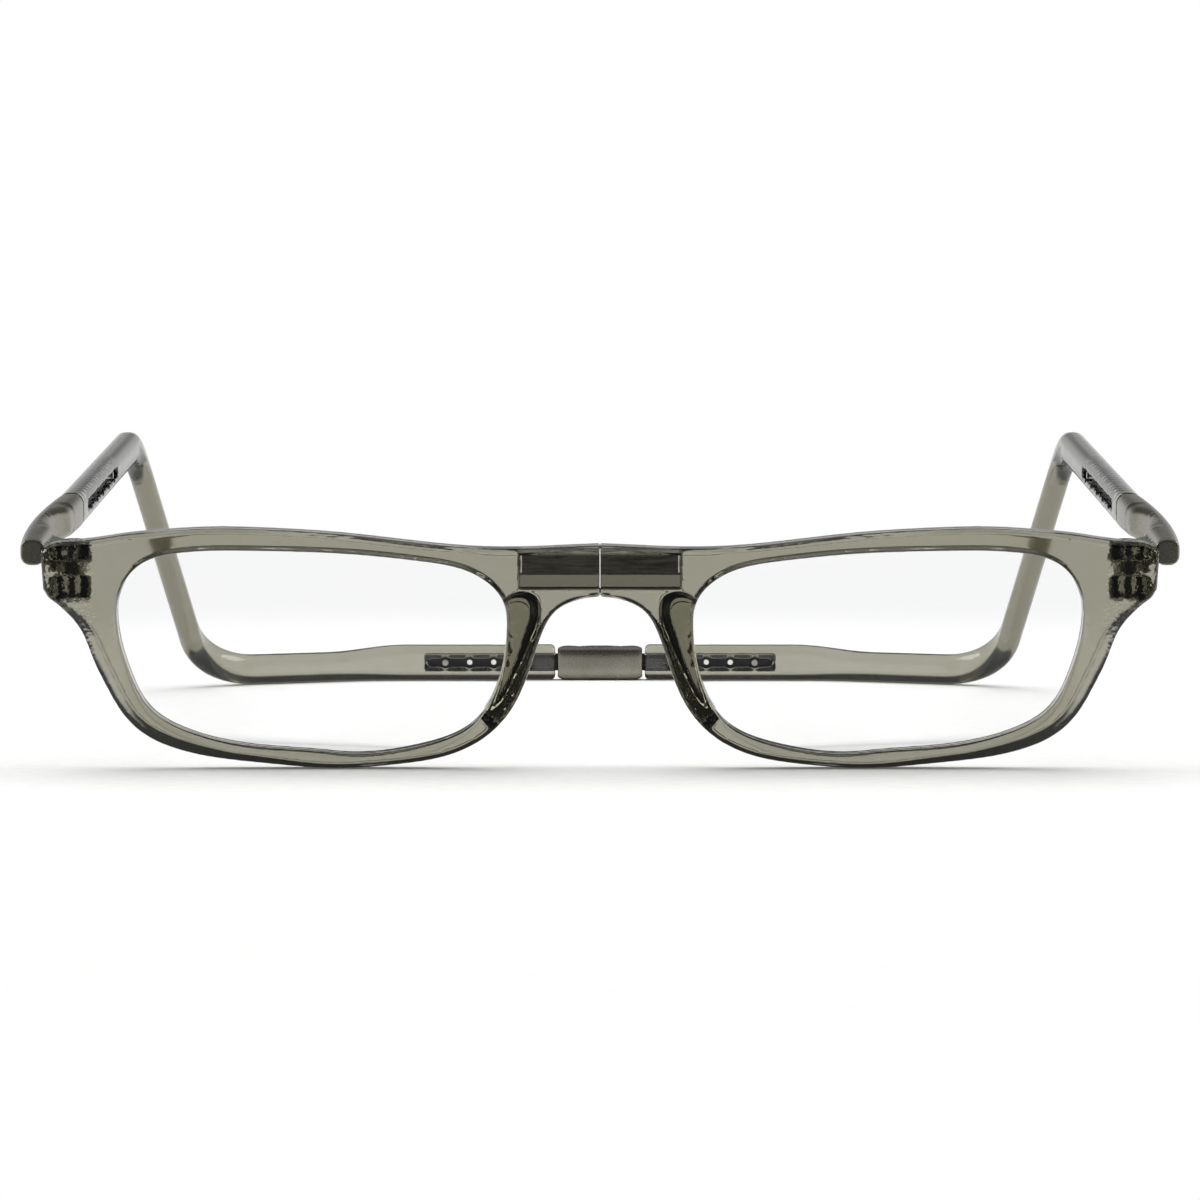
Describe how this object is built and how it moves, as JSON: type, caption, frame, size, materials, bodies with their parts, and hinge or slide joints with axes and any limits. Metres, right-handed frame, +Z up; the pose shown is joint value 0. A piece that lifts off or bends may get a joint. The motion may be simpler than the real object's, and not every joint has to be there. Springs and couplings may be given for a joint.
{
  "type": "reading glasses",
  "caption": "Reading glasses with a clear lens in each half of a smoke-grey front, a magnetic split bridge and a headband that telescopes at the sides and the back.",
  "frame": {"origin": "on the table, below the middle of the bounding box", "axes": "+X to the wearer's left, the front faces -Y, +Z up; the glasses lie on a table on the feet of the rims and the rear of the headband"},
  "size_m": [0.15, 0.1703, 0.0417],
  "materials": {
    "smoke_plastic": "clear smoke-grey, polished",
    "satin_plastic": "satin lacquer",
    "lens": "clear, polished",
    "magnet": "nickel plated",
    "steel": "turned steel",
    "spring_steel": "blued spring strip"
  },
  "bodies": {
    "connector": {"back_connector": "satin_plastic", "left_connector_pin": "steel", "right_connector_pin": "steel"},
    "left_tail": {"left_back_slider": "spring_steel", "left_back_detent_pin": "steel"},
    "left_headband": {"left_band": "smoke_plastic"},
    "left_temple": {"left_arm": "satin_plastic", "left_arm_slider": "spring_steel", "left_slider_pin": "steel", "left_arm_detent_pin": "steel"},
    "left_front": {"left_rim": "smoke_plastic", "left_lens": "lens", "left_bridge_magnet": "magnet", "left_magnet_cover": "smoke_plastic", "left_hinge_screw": "steel"},
    "right_tail": {"right_back_slider": "spring_steel", "right_back_detent_pin": "steel"},
    "right_headband": {"right_band": "smoke_plastic"},
    "right_temple": {"right_arm": "satin_plastic", "right_arm_slider": "spring_steel", "right_slider_pin": "steel", "right_arm_detent_pin": "steel"},
    "right_front": {"right_rim": "smoke_plastic", "right_lens": "lens", "right_bridge_magnet": "magnet", "right_magnet_cover": "smoke_plastic", "right_hinge_screw": "steel"}
  },
  "joints": [
    {"name": "left_band_flex", "type": "hinge", "parent": "connector", "child": "left_tail", "pos_m": [0.0034, 0.08322, 0.00295], "axis": [0, 0, 1], "range_deg": [0, 12], "stiffness_Nm_per_rad": 0.6},
    {"name": "left_back_extension", "type": "slide", "parent": "left_tail", "child": "left_headband", "axis": [1, 0, 0], "range_m": [0, 0.012]},
    {"name": "left_temple_extension", "type": "slide", "parent": "left_headband", "child": "left_temple", "axis": [0, -0.9942, -0.108], "range_m": [0, 0.028]},
    {"name": "left_fold", "type": "hinge", "parent": "left_temple", "child": "left_front", "pos_m": [0.0673, -0.07865, 0.02576], "axis": [0, 0.108, -0.9942], "range_deg": [0, 85]},
    {"name": "right_band_flex", "type": "hinge", "parent": "connector", "child": "right_tail", "pos_m": [-0.0034, 0.08322, 0.00295], "axis": [0, 0, -1], "range_deg": [0, 12], "stiffness_Nm_per_rad": 0.6},
    {"name": "right_back_extension", "type": "slide", "parent": "right_tail", "child": "right_headband", "axis": [-1, 0, 0], "range_m": [0, 0.012]},
    {"name": "right_temple_extension", "type": "slide", "parent": "right_headband", "child": "right_temple", "axis": [0, -0.9942, -0.108], "range_m": [0, 0.028]},
    {"name": "right_fold", "type": "hinge", "parent": "right_temple", "child": "right_front", "pos_m": [-0.0673, -0.07865, 0.02576], "axis": [0, -0.108, 0.9942], "range_deg": [0, 85]}
  ]
}
